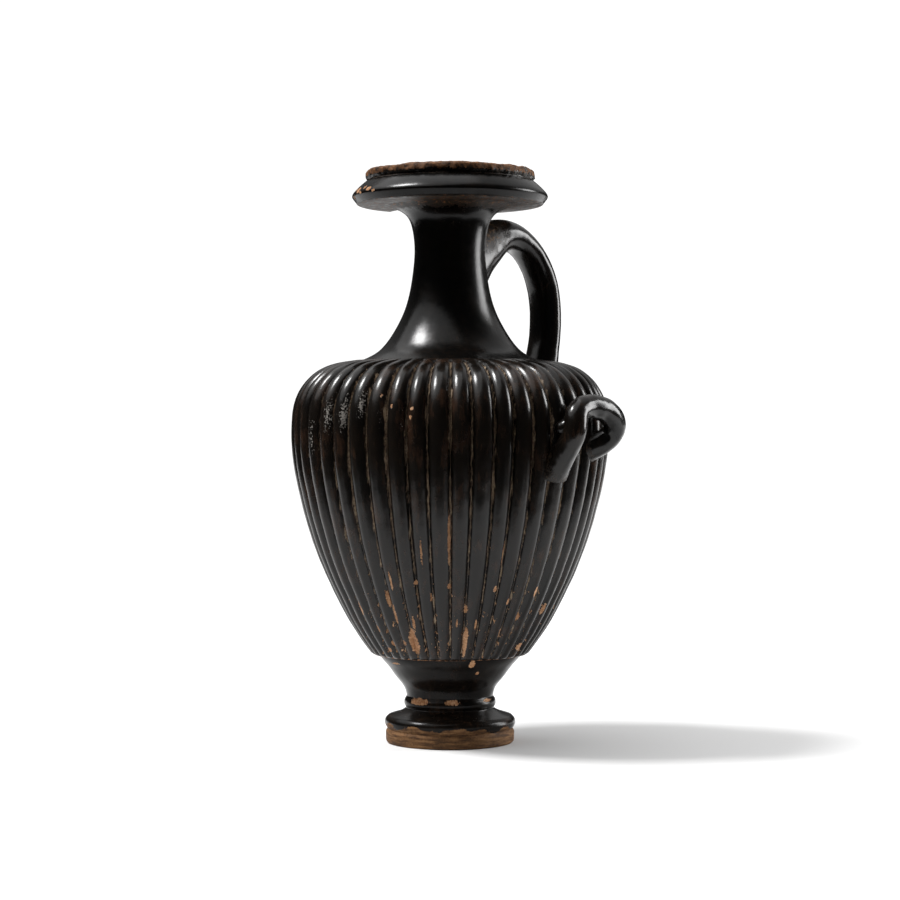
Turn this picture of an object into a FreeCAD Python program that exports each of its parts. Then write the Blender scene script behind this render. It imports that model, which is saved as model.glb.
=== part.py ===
"""A miniature hydria: a small ribbed water jar of black-glazed clay, in one fired piece.

The origin is on the jar's axis, at the plane that the foot rests on. +Z is up, one side handle
lies on +X, the back handle rises from the shoulder to the neck near +Y, and the other side
handle is the first one mirrored in the back handle's upright plane.
Lengths are in millimetres and angles in degrees.
"""
import FreeCAD
import Part

import math
import os
import re

import Sketcher

Vector = FreeCAD.Vector

# The driving sizes of the jar, each written once.
SIZES = {
    # The foot, from the resting ring up to the cone that carries the belly.
    "foot_radius": 16.9,
    "foot_edge_round": 0.6,
    "foot_band_height": 3.3,
    "foot_line_depth": 0.5,
    "foot_line_height": 0.9,
    "foot_moulding_height": 2.9,
    "foot_moulding_round": 2.3,
    "foot_top_radius": 16.3,
    "foot_cove_round": 7.0,
    "foot_hollow_radius": 11.8,
    "foot_hollow_depth": 3.4,
    "stem_radius": 11.45,
    "stem_height": 8.9,
    "bead_height": 3.7,
    "bead_round": 3.6,
    "cone_foot_height": 13.6,
    "cone_top_radius": 18.9,
    # The ribbed belly and shoulder: radii and heights of the ribs' crests.
    "rib_count": 46,
    "first_rib_angle": -3.13,
    "rib_foot_radius": 20.9,
    "rib_foot_height": 23.6,
    "low_belly_radius": 31.0,
    "low_belly_height": 40.4,
    "mid_belly_radius": 38.45,
    "mid_belly_height": 60.3,
    "belly_radius": 41.85,
    "belly_drop": 18.7,
    "turn_radius": 38.2,
    "turn_drop": 6.0,
    "shoulder_radius": 31.2,
    "shoulder_drop": 1.1,
    "rib_top_radius": 24.2,
    "rib_top_height": 100.2,
    "rib_depth": 1.4,
    "rib_fade": 0.16,
    # The neck.
    "neck_foot_radius": 23.4,
    "neck_foot_rise": 0.4,
    "neck_foot_round": 9.5,
    "neck_flare_radius": 17.0,
    "neck_flare_rise": 3.5,
    "neck_sweep": 41.6,
    "neck_radius": 9.35,
    "neck_waist_rise": 27.3,
    "neck_top_sweep": 27.0,
    "neck_top_radius": 11.6,
    "neck_top_drop": 2.4,
    # The mouth: a spreading lip, and the rough collar that stands on it.
    "lip_root_round": 5.0,
    "lip_root_radius": 16.2,
    "neck_height": 40.2,
    "lip_edge_radius": 24.0,
    "lip_edge_round": 3.0,
    "lip_slope_radius": 25.55,
    "lip_slope_rise": 3.1,
    "collar_radius": 22.2,
    "collar_line_depth": 0.6,
    "collar_line_rise": 6.7,
    "collar_height": 3.3,
    "rim_round": 1.0,
    "mouth_radius": 18.8,
    "dish_radius": 15.4,
    "dish_rise": 2.9,
    "dish_round": 4.4,
    "dish_wall_rise": 6.4,
    # The inside.
    "bore_radius": 6.4,
    "bore_top_drop": 3.4,
    "wall": 2.7,
    "floor_height": 19.0,
    "floor_radius": 6.0,
    # The side handles: a roll of clay bent into a loop that stands up close to the belly.
    "loop_roll_radius": 2.65,
    "loop_root_radius": 3.9,
    # The back handle: a strap of oval section, from the neck to the shoulder.
    "strap_angle": 81.0,
    "strap_width": 9.8,
    "strap_thickness": 6.8,
    "strap_root_width": 10.4,
    "strap_root_thickness": 19.0,
    "strap_foot_width": 10.8,
    "strap_foot_thickness": 12.4,
    # The break in the underside of the lip.
    "break_angle": 150.0,
    "break_width": 15.0,
    "break_depth": 1.4,
    "break_inner_radius": 16.6,
}

# Heights that follow from the driving sizes.
HEIGHTS = {
    "belly_height": "rib_top_height - belly_drop",
    "turn_height": "rib_top_height - turn_drop",
    "shoulder_height": "rib_top_height - shoulder_drop",
    "neck_flare_height": "rib_top_height + neck_flare_rise",
    "neck_waist_height": "rib_top_height + neck_waist_rise",
    "lip_under_height": "rib_top_height + neck_height",
    "neck_top_height": "lip_under_height - neck_top_drop",
    "lip_slope_height": "lip_under_height + lip_slope_rise",
    "collar_line_height": "lip_under_height + collar_line_rise",
    "dish_wall_height": "lip_under_height + dish_wall_rise",
    "bore_top_height": "lip_under_height - bore_top_drop",
}

# Where the rings of ribs lie along the crest curve, as a share of its length, from the foot up.
RING_SHARES = (0.21, 0.43, 0.58, 0.69, 0.77, 0.84, 0.91)
# The corners of one rib's back: how far across it they lie, in half widths from its crest,
# and how far down towards the groove.
RIB_CORNERS = ((-1.0, 1.0), (-0.55, 0.12), (0.55, 0.12))
# How many flats the hollow of the belly has round it.
HOLLOW_FLATS = 24
# How finely the handles' rolls are drawn: corners round them, and rings along them.
RING_CORNERS = 10
LOOP_RINGS = 14
STRAP_RINGS = 11
# The side handle's course: how far out from the belly's widest ring it runs, how far to the
# side, and how far above that ring.
LOOP_COURSE = (
    (-3.2, -8.7, -7.6),
    (1.9, -9.3, -2.7),
    (4.6, -9.3, 1.2),
    (4.5, -8.1, 4.9),
    (4.1, -4.2, 6.5),
    (4.9, 1.0, 6.2),
    (5.1, 5.9, 4.0),
    (3.8, 8.5, 0.8),
    (-3.2, 9.0, -3.4),
)
# The loop lies about one plane, and its rings start from this direction out of that plane.
LOOP_ACROSS = Vector(1.0, 0.0, -0.5)
# The back handle's course: its radius as a share of the shoulder's where it stands, and its
# height as a share of the neck's, from the ribs to the lip.
STRAP_COURSE = (
    (0.12, 0.607),
    (0.325, 0.746),
    (0.51, 0.826),
    (0.78, 0.726),
    (0.94, 0.468),
    (0.958, 0.206),
    (0.865, -0.214),
)
# The share of a handle's length over which its root spreads.
LOOP_SPREAD = 0.2
STRAP_ROOT_SPREAD = 0.44
STRAP_FOOT_SPREAD = 0.25


def make_sheet(doc):
    """Writes the driving sizes and the heights into a spreadsheet, one row each."""
    sheet = doc.addObject("Spreadsheet::Sheet", "sizes")
    heights = {name: f"={text}" for name, text in HEIGHTS.items()}
    for row, (name, value) in enumerate((SIZES | heights).items(), start=1):
        sheet.set(f"A{row}", name)
        sheet.set(f"B{row}", str(value))
        sheet.setAlias(f"B{row}", name)
    doc.recompute()
    return sheet


def tied(text):
    """Turns a sum of size names into an expression on the cells of the spreadsheet."""
    return re.sub(r"([a-z]\w+)", r"sizes.\1", text)


def origin_plane(body, role):
    """Finds one of a body's own origin planes by its role."""
    for feature in body.Origin.OriginFeatures:
        if feature.Role == role:
            return feature
    raise ValueError(f"no origin plane {role}")


def arc_between(start, end, radius):
    """An arc between two points, which bulges to the left of the way if radius > 0."""
    chord = end - start
    half = chord.Length / 2
    sagitta = abs(radius) - math.sqrt(radius * radius - half * half)
    side = Vector(-chord.y, chord.x, 0).normalize()
    middle = (start + end) * 0.5 + side * math.copysign(sagitta, radius)
    return Part.Arc(start, middle, end)


class Outline:
    """A closed outline in (radius, height), drawn in a sketch and tied to the spreadsheet."""

    def __init__(self, sketch):
        self.sketch = sketch
        self.lines = []

    def size(self, text):
        """What a sum of size names comes to."""
        return float(self.sketch.evalExpression(tied(text)))

    def place(self, corner):
        """The point of a corner."""
        return Vector(self.size(corner[0]), self.size(corner[1]), 0)

    def tie(self, kind, *where, size):
        """Adds a dimension whose value is an expression on the spreadsheet."""
        constraint = Sketcher.Constraint(kind, *where, self.size(size))
        number = self.sketch.addConstraint(constraint)
        self.sketch.setExpression(f"Constraints[{number}]", tied(size))

    def pin(self, index, corner):
        """Ties the start of a line to a corner's radius and height, or puts it on an axis."""
        for size, kind, axis in ((corner[0], "DistanceX", -2), (corner[1], "DistanceY", -1)):
            if size == "0":
                on_axis = Sketcher.Constraint("PointOnObject", index, 1, axis)
                self.sketch.addConstraint(on_axis)
            else:
                self.tie(kind, -1, 1, index, 1, size=size)

    def run(self, corner, following):
        """Draws the outline from one corner to the next, as one line or as flats on an arc."""
        start, end = self.place(corner), self.place(following)
        points = [start, end]
        if len(corner) == 4:
            arc = arc_between(start, end, self.size(corner[2]))
            flats = corner[3]
            first, last = arc.FirstParameter, arc.LastParameter
            points = [arc.value(first + (last - first) * step / flats) for step in range(flats + 1)]
            if points[0].distanceToPoint(start) > points[-1].distanceToPoint(start):
                points.reverse()
        indices = []
        for point, after in zip(points, points[1:]):
            indices.append(self.sketch.addGeometry(Part.LineSegment(point, after), False))
        self.pin(indices[0], corner)
        for index, after in zip(indices, indices[1:]):
            self.sketch.addConstraint(Sketcher.Constraint("Coincident", index, 2, after, 1))
            self.sketch.addConstraint(Sketcher.Constraint("Equal", index, after))
        if len(corner) == 4:
            self.guide(arc, indices, corner[2].lstrip("-"))
        self.lines.append(indices)

    def guide(self, arc, indices, radius):
        """Holds the corners between flats on a construction arc of the given radius."""
        guide = self.sketch.addGeometry(arc, True)
        start = self.sketch.getPoint(indices[0], 1)
        ends = (1, 2) if self.sketch.getPoint(guide, 1).distanceToPoint(start) < 1e-6 else (2, 1)
        self.sketch.addConstraint(Sketcher.Constraint("Coincident", guide, ends[0], indices[0], 1))
        self.sketch.addConstraint(Sketcher.Constraint("Coincident", guide, ends[1], indices[-1], 2))
        self.tie("Radius", guide, size=radius)
        for index in indices[:-1]:
            self.sketch.addConstraint(Sketcher.Constraint("PointOnObject", index, 2, guide))

    def draw(self, corners):
        """Draws the whole outline and joins each run to the next."""
        for corner, following in zip(corners, corners[1:] + corners[:1]):
            self.run(corner, following)
        for run, after in zip(self.lines, self.lines[1:] + self.lines[:1]):
            self.sketch.addConstraint(Sketcher.Constraint("Coincident", run[-1], 2, after[0], 1))


def add_turned_body(doc, name, corners):
    """A body turned round the Z axis from a closed outline.

    Each corner is its radius and its height. Where the outline runs on to the next corner along
    an arc, two more values give the arc's radius, negative where it bulges to the right of the
    way, and how many flats it is turned in.
    """
    body = doc.addObject("PartDesign::Body", name)
    sketch = body.newObject("Sketcher::SketchObject", f"{name}_outline")
    sketch.AttachmentSupport = [(origin_plane(body, "XZ_Plane"), "")]
    sketch.MapMode = "FlatFace"
    Outline(sketch).draw(corners)
    turned = body.newObject("PartDesign::Revolution", f"{name}_turned")
    turned.Profile = sketch
    turned.ReferenceAxis = (sketch, ["V_Axis"])
    turned.Angle = 360
    body.Tip = turned
    return body


def add_foot(doc):
    """The foot: a banded ring, a moulding, a bead and the plain cone under the ribs."""
    moulding_foot = "foot_band_height + foot_line_height"
    moulding_top = moulding_foot + " + foot_moulding_height"
    return add_turned_body(doc, "foot", [
        ("0", "0"),
        ("foot_radius - foot_edge_round", "0"),
        ("foot_radius", "foot_edge_round"),
        ("foot_radius", "foot_band_height"),
        ("foot_radius - foot_line_depth", "foot_band_height + foot_line_height / 2"),
        ("foot_radius", moulding_foot, "-foot_moulding_round", 2),
        ("foot_top_radius", moulding_top, "foot_cove_round", 1),
        ("stem_radius", "stem_height", "-bead_round", 2),
        ("stem_radius", "stem_height + bead_height"),
        ("stem_radius", "cone_foot_height"),
        ("cone_top_radius", "rib_foot_height"),
        ("cone_top_radius", "rib_foot_height + wall"),
        ("0", "rib_foot_height + wall"),
    ])


def add_neck(doc):
    """The neck and the mouth, seated in the shoulder by a wall's depth."""
    collar_foot = "collar_line_height + collar_line_depth / 2"
    collar_top = collar_foot + " + collar_height"
    return add_turned_body(doc, "neck", [
        ("0", "rib_top_height - wall"),
        ("neck_foot_radius", "rib_top_height - wall"),
        ("neck_foot_radius", "rib_top_height - rib_depth / 2 + neck_foot_rise",
         "neck_foot_round", 2),
        ("neck_flare_radius", "neck_flare_height", "neck_sweep", 3),
        ("neck_radius", "neck_waist_height", "neck_top_sweep", 1),
        ("neck_top_radius", "neck_top_height", "lip_root_round", 2),
        ("lip_root_radius", "lip_under_height"),
        ("lip_edge_radius", "lip_under_height", "-lip_edge_round", 2),
        ("lip_slope_radius", "lip_slope_height"),
        ("collar_radius - collar_line_depth", "collar_line_height"),
        ("collar_radius", collar_foot),
        ("collar_radius", collar_top + " - rim_round"),
        ("collar_radius - rim_round", collar_top),
        ("0", collar_top),
    ])


def add_bore(doc):
    """What is hollow above the belly: the bore of the neck and the dished mouth."""
    rim = "collar_line_height + collar_line_depth / 2 + collar_height"
    return add_turned_body(doc, "bore", [
        ("0", "shoulder_height - rib_depth - wall"),
        ("bore_radius", "shoulder_height - rib_depth - wall"),
        ("bore_radius", "bore_top_height"),
        ("dish_radius", "lip_under_height + dish_rise", "-dish_round", 1),
        ("mouth_radius", "dish_wall_height"),
        ("mouth_radius", rim + " - rim_round"),
        ("mouth_radius + rim_round", rim),
        ("mouth_radius + rim_round", rim + " + rim_round"),
        ("0", rim + " + rim_round"),
    ])


def add_belly_hollow(doc, sheet):
    """The hollow of the belly, with flat sides behind the ribs, a wall's depth from them."""
    wall, groove = sheet.wall, sheet.rib_depth
    side = sheet.mid_belly_radius - groove
    rings = []
    for radius, height in (
        (sheet.floor_radius, sheet.floor_height),
        (sheet.low_belly_radius - groove - wall, sheet.low_belly_height),
        (side, sheet.mid_belly_height + wall * 2),
        (side, sheet.turn_height - groove - wall * 2),
        (sheet.shoulder_radius - groove, sheet.shoulder_height - groove - wall),
        (sheet.neck_flare_radius - wall, sheet.rib_top_height - groove - wall),
    ):
        points = []
        for corner in range(HOLLOW_FLATS):
            angle = 2 * math.pi * corner / HOLLOW_FLATS
            points.append(Vector(radius * math.cos(angle), radius * math.sin(angle), height))
        rings.append(points)
    return add_faceted_body(doc, "belly_hollow", rings)


def add_foot_hollow(doc):
    """The shallow hollow that is turned out of the underside of the foot."""
    return add_turned_body(doc, "foot_hollow", [
        ("0", "0"),
        ("foot_hollow_radius", "0"),
        ("foot_hollow_radius", "foot_hollow_depth"),
        ("0", "foot_hollow_depth"),
    ])


def smooth(points):
    """A smooth curve through points."""
    curve = Part.BSplineCurve()
    curve.interpolate(points)
    return curve


def crest_curve(sheet):
    """The outline that the crests of the ribs follow, in (radius, height), from the foot up."""
    return smooth([
        Vector(sheet.rib_foot_radius, sheet.rib_foot_height, 0),
        Vector(sheet.low_belly_radius, sheet.low_belly_height, 0),
        Vector(sheet.mid_belly_radius, sheet.mid_belly_height, 0),
        Vector(sheet.belly_radius, sheet.belly_height, 0),
        Vector(sheet.turn_radius, sheet.turn_height, 0),
        Vector(sheet.shoulder_radius, sheet.shoulder_height, 0),
        Vector(sheet.rib_top_radius, sheet.rib_top_height, 0),
    ])


def rib_ring(sheet, crest, inward):
    """The corners of a ring of ribs round the axis.

    crest is the crest's (radius, height) and inward the step from there down into the groove.
    """
    pitch = 2 * math.pi / sheet.rib_count
    first = math.radians(sheet.first_rib_angle)
    points = []
    for rib in range(int(sheet.rib_count)):
        for sideways, down in RIB_CORNERS:
            angle = first + (rib + sideways / 2) * pitch
            place = crest + inward * down
            points.append(Vector(place.x * math.cos(angle), place.x * math.sin(angle), place.y))
    return points


def add_ribbed_belly(doc, sheet):
    """The belly and shoulder: flats between rings of ribs, from their foot to the neck."""
    curve = crest_curve(sheet)
    start = curve.FirstParameter
    span = curve.LastParameter - start
    # A rib is as deep as it is wide, so its depth goes with the radius.
    slimness = sheet.rib_depth / sheet.belly_radius
    foot = Vector(sheet.rib_foot_radius, sheet.rib_foot_height, 0)
    top = Vector(sheet.rib_top_radius, sheet.rib_top_height - sheet.rib_depth / 2, 0)
    rings = [rib_ring(sheet, foot, Vector(-foot.x * slimness, 0, 0))]
    for share in RING_SHARES:
        crest = curve.value(start + share * span)
        tangent = curve.tangent(start + share * span)[0]
        # Up to the widest ring the grooves lie level with the crests, so that the flanks of the
        # ribs are flat, and above it they lie square to the surface.
        level = crest.y < sheet.belly_height
        inward = Vector(-1, 0, 0) if level else Vector(-tangent.y, tangent.x, 0)
        fade = min(1.0, (1 - share) / sheet.rib_fade)
        inward = inward * (crest.x * slimness * fade)
        rings.append(rib_ring(sheet, crest, inward))
    rings.append(rib_ring(sheet, top, Vector(0, 0, 0)))
    return add_faceted_body(doc, "ribbed_belly", rings)


def is_flat(corners):
    """Whether four corners lie in one plane."""
    first, second, third = (corner - corners[0] for corner in corners[1:])
    return abs(first.cross(second).normalize().dot(third)) < 1e-7


def add_faceted_body(doc, name, rings):
    """A solid between closed rings of corners, with two triangles where four aren't flat."""
    loops = [rings[0], rings[-1]]
    for ring, above in zip(rings, rings[1:]):
        turned, turned_above = ring[1:] + ring[:1], above[1:] + above[:1]
        for corners in zip(ring, turned, turned_above, above):
            if is_flat(corners):
                loops.append(corners)
            else:
                loops.extend((corners[:3], (corners[0], corners[2], corners[3])))
    faces = [Part.Face(Part.makePolygon([*loop, loop[0]])) for loop in loops]
    body = doc.addObject("Part::Feature", name)
    body.Shape = Part.Solid(Part.makeShell(faces))
    if body.Shape.Volume < 0:
        body.Shape = body.Shape.reversed()
    return body


def add_loft(doc, name, rings):
    """A ruled solid loft through closed rings."""
    sections = []
    for number, ring in enumerate(rings, start=1):
        section = doc.addObject("Part::Feature", f"{name}_ring_{number}")
        section.Shape = ring
        sections.append(section)
    loft = doc.addObject("Part::Loft", name)
    loft.Sections = sections
    loft.Solid = True
    loft.Ruled = True
    return loft


def oval_ring(centre, along, across, width, thickness):
    """An oval ring round a path at centre, its width in the direction across."""
    along = Vector(along).normalize()
    across = (across - along * across.dot(along)).normalize()
    up = along.cross(across)
    points = []
    for corner in range(RING_CORNERS):
        turn = 2 * math.pi * corner / RING_CORNERS
        sideways = across * (width / 2 * math.cos(turn))
        points.append(centre + sideways + up * (thickness / 2 * math.sin(turn)))
    return Part.makePolygon(points + points[:1])


def root_spread(share, reach):
    """How far a root has spread at a share of the way from it: 1 at the root, 0 past reach."""
    return max(0.0, 1.0 - share / reach) ** 2


def add_side_handle(doc, sheet):
    """The side handle on +X: a roll of clay from the belly, outwards and up, and back."""
    path = smooth([
        Vector(sheet.belly_radius + out, sideways, sheet.belly_height + up)
        for out, sideways, up in LOOP_COURSE
    ])
    span = path.LastParameter - path.FirstParameter
    rings = []
    for step in range(LOOP_RINGS + 1):
        share = step / LOOP_RINGS
        parameter = path.FirstParameter + share * span
        spread = root_spread(min(share, 1 - share), LOOP_SPREAD)
        radius = sheet.loop_roll_radius + (sheet.loop_root_radius - sheet.loop_roll_radius) * spread
        along = path.tangent(parameter)[0]
        rings.append(oval_ring(path.value(parameter), along, LOOP_ACROSS, 2 * radius, 2 * radius))
    return add_loft(doc, "side_handle", rings)


def add_back_handle(doc, sheet):
    """The back handle: an oval strap that rises from the neck, bends over and drops."""
    turn = math.radians(sheet.strap_angle)
    outwards = Vector(math.cos(turn), math.sin(turn), 0)
    across = Vector(-math.sin(turn), math.cos(turn), 0)
    path = smooth([
        outwards * (sheet.turn_radius * out)
        + Vector(0, 0, sheet.rib_top_height + sheet.neck_height * up)
        for out, up in STRAP_COURSE
    ])
    span = path.LastParameter - path.FirstParameter
    rings = []
    for step in range(STRAP_RINGS + 1):
        share = step / STRAP_RINGS
        parameter = path.FirstParameter + share * span
        near = root_spread(share, STRAP_ROOT_SPREAD)
        far = root_spread(1 - share, STRAP_FOOT_SPREAD)
        width = sheet.strap_width
        width += (sheet.strap_root_width - width) * near + (sheet.strap_foot_width - width) * far
        thickness = sheet.strap_thickness
        thickness += (sheet.strap_root_thickness - sheet.strap_thickness) * near
        thickness += (sheet.strap_foot_thickness - sheet.strap_thickness) * far
        along = path.tangent(parameter)[0]
        rings.append(oval_ring(path.value(parameter), along, across, width, thickness))
    return add_loft(doc, "back_handle", rings)


def add_lip_break(doc):
    """The piece that is broken out of the underside of the lip, as a turned block."""
    block = doc.addObject("Part::Box", "lip_break")
    block.setExpression("Length", tied("lip_slope_radius - break_inner_radius + lip_edge_round"))
    block.setExpression("Width", tied("break_width"))
    block.setExpression("Height", tied("break_depth + lip_edge_round"))
    inner, half, angle = tied("break_inner_radius"), tied("break_width / 2"), tied("break_angle")
    block.setExpression("Placement.Base.x", f"{inner} * cos({angle}) + {half} * sin({angle})")
    block.setExpression("Placement.Base.y", f"{inner} * sin({angle}) - {half} * cos({angle})")
    block.setExpression("Placement.Base.z", tied("lip_under_height - lip_edge_round"))
    block.setExpression("Placement.Rotation.Angle", angle)
    return block


def add_hydria(doc, sheet):
    """The whole jar: its parts joined as one piece of clay, then hollowed."""
    side_handle = add_side_handle(doc, sheet)
    other_side_handle = doc.addObject("Part::Mirroring", "other_side_handle")
    other_side_handle.Source = side_handle
    turn = math.radians(sheet.strap_angle)
    other_side_handle.Normal = Vector(-math.sin(turn), math.cos(turn), 0)
    joined = doc.addObject("Part::MultiFuse", "joined")
    joined.Shapes = [
        add_foot(doc),
        add_ribbed_belly(doc, sheet),
        add_neck(doc),
        side_handle,
        other_side_handle,
        add_back_handle(doc, sheet),
    ]
    joined.Refine = False
    solid = joined
    for tool in (
        add_belly_hollow(doc, sheet), add_bore(doc), add_foot_hollow(doc), add_lip_break(doc)
    ):
        cut = doc.addObject("Part::Cut", f"without_{tool.Name}")
        cut.Base = solid
        cut.Tool = tool
        cut.Refine = False
        solid = cut
    solid.Label = "hydria"
    return solid


def check(doc, part):
    """Stops if any object of the document failed, or if the part isn't one sound solid."""
    for item in doc.Objects:
        if "Invalid" in item.State or "Error" in item.State:
            raise RuntimeError(f"{item.Name} failed: {item.State}")
    shape = part.Shape
    if shape.isNull() or not shape.isValid():
        raise RuntimeError(f"{part.Label} has no sound shape")
    if len(shape.Solids) != 1:
        raise RuntimeError(f"{part.Label} has {len(shape.Solids)} solids")


def main():
    doc = FreeCAD.newDocument("hydria")
    sheet = make_sheet(doc)
    part = add_hydria(doc, sheet)
    doc.recompute()
    check(doc, part)
    os.makedirs("parts", exist_ok=True)
    part.Shape.exportStep(f"parts/{part.Label}.step")
    print(f"{part.Label}: {part.Shape.Volume / 1000:.2f} cubic centimetres of clay")


main()
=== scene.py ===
"""The looks of a miniature hydria: a small ribbed water jar of black-glazed clay.

The jar is one fired piece. It is dressed here as seven closed shells that overlap inside its
wall: the foot, the ribbed belly, the neck with its mouth, two loop handles, a lump of clay at
the root of one of them, and the upright handle behind the neck. Sizes are in millimetres on
the jar's own axis, with the foot's resting plane at height 0, and meshes are in metres.
"""

import logging
import math
from collections.abc import Mapping, Sequence
from dataclasses import dataclass
from enum import Enum
from functools import cached_property

import bpy
import numpy as np
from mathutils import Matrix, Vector


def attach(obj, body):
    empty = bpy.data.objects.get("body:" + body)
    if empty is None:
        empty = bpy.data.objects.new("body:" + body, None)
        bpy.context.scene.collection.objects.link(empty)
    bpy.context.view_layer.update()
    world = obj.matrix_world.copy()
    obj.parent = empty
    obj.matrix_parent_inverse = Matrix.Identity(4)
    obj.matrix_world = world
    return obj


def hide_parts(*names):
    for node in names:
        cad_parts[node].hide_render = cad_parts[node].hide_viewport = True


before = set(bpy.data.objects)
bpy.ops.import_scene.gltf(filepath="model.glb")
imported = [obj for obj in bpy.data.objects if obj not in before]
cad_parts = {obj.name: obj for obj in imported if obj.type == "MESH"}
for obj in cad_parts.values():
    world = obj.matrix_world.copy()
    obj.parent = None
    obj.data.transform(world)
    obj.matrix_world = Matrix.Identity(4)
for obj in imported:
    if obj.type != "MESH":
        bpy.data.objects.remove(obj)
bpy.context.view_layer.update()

log = logging.getLogger("hydria")

MM = 0.001
NODE = "hydria"
BODY = "root"
# The side of the jar that faces the camera, as an angle round the jar's axis in degrees.
FRONT = -54.0
# What the finishes' full relief stands for, in millimetres.
RELIEF = 0.1

Colour = tuple[float, float, float]
Stops = tuple[tuple[float, Colour], ...]


class Mark(Enum):
    """An attribute that a mesh carries for its finish, and its value where the slip is whole."""

    GROOVE = ("groove", 0.0)
    WORN = ("worn", -1.0)
    BARE = ("bare", -0.5)
    SOIL = ("soil", 0.0)
    SCUFF = ("scuff", -1.0)
    FLECK = ("fleck", -1.0)

    def __init__(self, label: str, unmarked: float) -> None:
        """Names the two values."""
        self.label = label
        self.unmarked = unmarked


class Onset(Enum):
    """The sum of mark and noise at which a kind of wear starts to show, and where it is full."""

    # Pale groove lines: partly worn clay, partly a painted glint on the groove walls.
    LINE = (0.85, 0.96)
    CHIP = (0.02, 0.14)
    GROOVE = (0.2, 1.0)
    FLECK = (0.722, 0.745)
    SOIL = (0.42, 0.85)
    GRIT = (0.42, 0.66)
    SCUFF = (0.7, 0.82)
    BARE = (0.42, 0.56)


def reach_of(line: np.ndarray) -> np.ndarray:
    """How far along a line each of its points lies, from 0 at the first."""
    steps = np.linalg.norm(np.diff(line, axis=0), axis=1)
    return np.concatenate(([0.0], np.cumsum(steps)))


def picked(line: np.ndarray, scale: np.ndarray, at: np.ndarray) -> np.ndarray:
    """Points (radius, height) on a line, where a scale along it has the values in at."""
    return np.stack([np.interp(at, scale, line[:, axis]) for axis in (0, 1)], axis=1)


def smooth_through(points: Sequence[Sequence[float]], count: int) -> np.ndarray:
    """A smooth curve: the natural cubic spline through points over their chord lengths.

    Args:
        points: The points that the curve passes through, in two or three numbers each.
        count: How many points to return, evenly spread over the chord length.

    Returns:
        An array of count rows.
    """
    knots = np.asarray(points, dtype=float)
    reach = reach_of(knots)
    step = np.diff(reach)
    size = len(knots)
    system = np.zeros((size, size))
    system[0, 0] = system[-1, -1] = 1.0
    inner = np.arange(1, size - 1)
    system[inner, inner - 1] = step[:-1]
    system[inner, inner] = 2.0 * (step[:-1] + step[1:])
    system[inner, inner + 1] = step[1:]
    slopes = np.diff(knots, axis=0) / step[:, None]
    turns = np.zeros_like(knots)
    turns[1:-1] = 6.0 * (slopes[1:] - slopes[:-1])
    bend = np.linalg.solve(system, turns)
    at = np.linspace(0.0, reach[-1], count)
    span = np.clip(np.searchsorted(reach, at, side="right") - 1, 0, size - 2)
    right = ((at - reach[span]) / step[span])[:, None]
    left = 1.0 - right
    sag = (left**3 - left) * bend[span] + (right**3 - right) * bend[span + 1]
    return left * knots[span] + right * knots[span + 1] + sag * (step[span] ** 2)[:, None] / 6.0


def turned_outline(
    stretches: Sequence[Sequence[tuple[float, float]]], rounding: float, rows: int
) -> np.ndarray:
    """The outline of a turned shell, with its corners worn round.

    Each stretch is smooth and the next begins at a corner. The outline is walked in steps of
    0.03 mm, averaged over a bell-shaped window, and cut into rows that crowd where it bends:
    a straight part's share of them is base, and a bend's grows with its curvature up to most.

    Args:
        stretches: Points (radius, height) of each smooth stretch, in the order of the walk.
        rounding: How wide the bell-shaped window is, in millimetres.
        rows: How many points to return.

    Returns:
        An array of rows points (radius, height).
    """
    runs = [smooth_through(run, 60) if len(run) > 2 else np.asarray(run) for run in stretches]
    walk = np.concatenate(runs)
    walk = walk[np.concatenate(([True], np.linalg.norm(np.diff(walk, axis=0), axis=1) > 1e-6))]
    reach = reach_of(walk)
    step, base, most = 0.03, 0.35, 3.0
    even = np.arange(0.0, reach[-1], step)
    fine = picked(walk, reach, even)
    half = int(3 * rounding / step)
    bell = np.exp(-0.5 * (np.arange(-half, half + 1) * step / rounding) ** 2)
    bell /= bell.sum()
    ends = (2 * fine[0] - fine[half:0:-1], 2 * fine[-1] - fine[-2 : -half - 2 : -1])
    padded = np.concatenate((ends[0], fine, ends[1]))
    worn = np.stack([np.convolve(padded[:, axis], bell, "valid") for axis in (0, 1)], axis=1)
    heading = np.unwrap(np.arctan2(*np.gradient(worn, axis=0).T[::-1]))
    crowd = base + np.minimum(np.abs(np.gradient(heading)) / step, most)
    share = np.concatenate(([0.0], np.cumsum((crowd[1:] + crowd[:-1]) / 2)))
    at = np.linspace(0.0, share[-1], rows)
    outline = picked(worn, share, at)
    outline[:, 0] = np.maximum(outline[:, 0], 0.0)
    return outline


@dataclass(frozen=True)
class Waver:
    """A smooth random field: a sum of plane waves in random directions.

    grain is the middle wavelength and size the field's usual height, both in millimetres, and
    seed sets the waves' directions, lengths and phases.
    """

    grain: float
    size: float
    seed: int
    waves: int = 24
    shortest: float = 0.6
    longest: float = 1.6
    gain: float = 3.0

    def at(self, points: np.ndarray) -> np.ndarray:
        """The field at each point: the mean of the waves' sines there, times gain and size."""
        rng = np.random.default_rng(self.seed)
        ways = rng.normal(size=(self.waves, 3))
        ways /= np.linalg.norm(ways, axis=1, keepdims=True)
        lengths = self.grain * rng.uniform(self.shortest, self.longest, size=self.waves)
        phases = rng.uniform(0, 2 * math.pi, size=self.waves)
        sines = np.sin(points @ (ways * (2 * math.pi / lengths)[:, None]).T + phases)
        return sines.mean(axis=-1) * self.gain * self.size


def wavering(points: np.ndarray, wavers: Sequence[Waver]) -> np.ndarray:
    """The sum of several random fields at each point."""
    return sum(waver.at(points) for waver in wavers)


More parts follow.
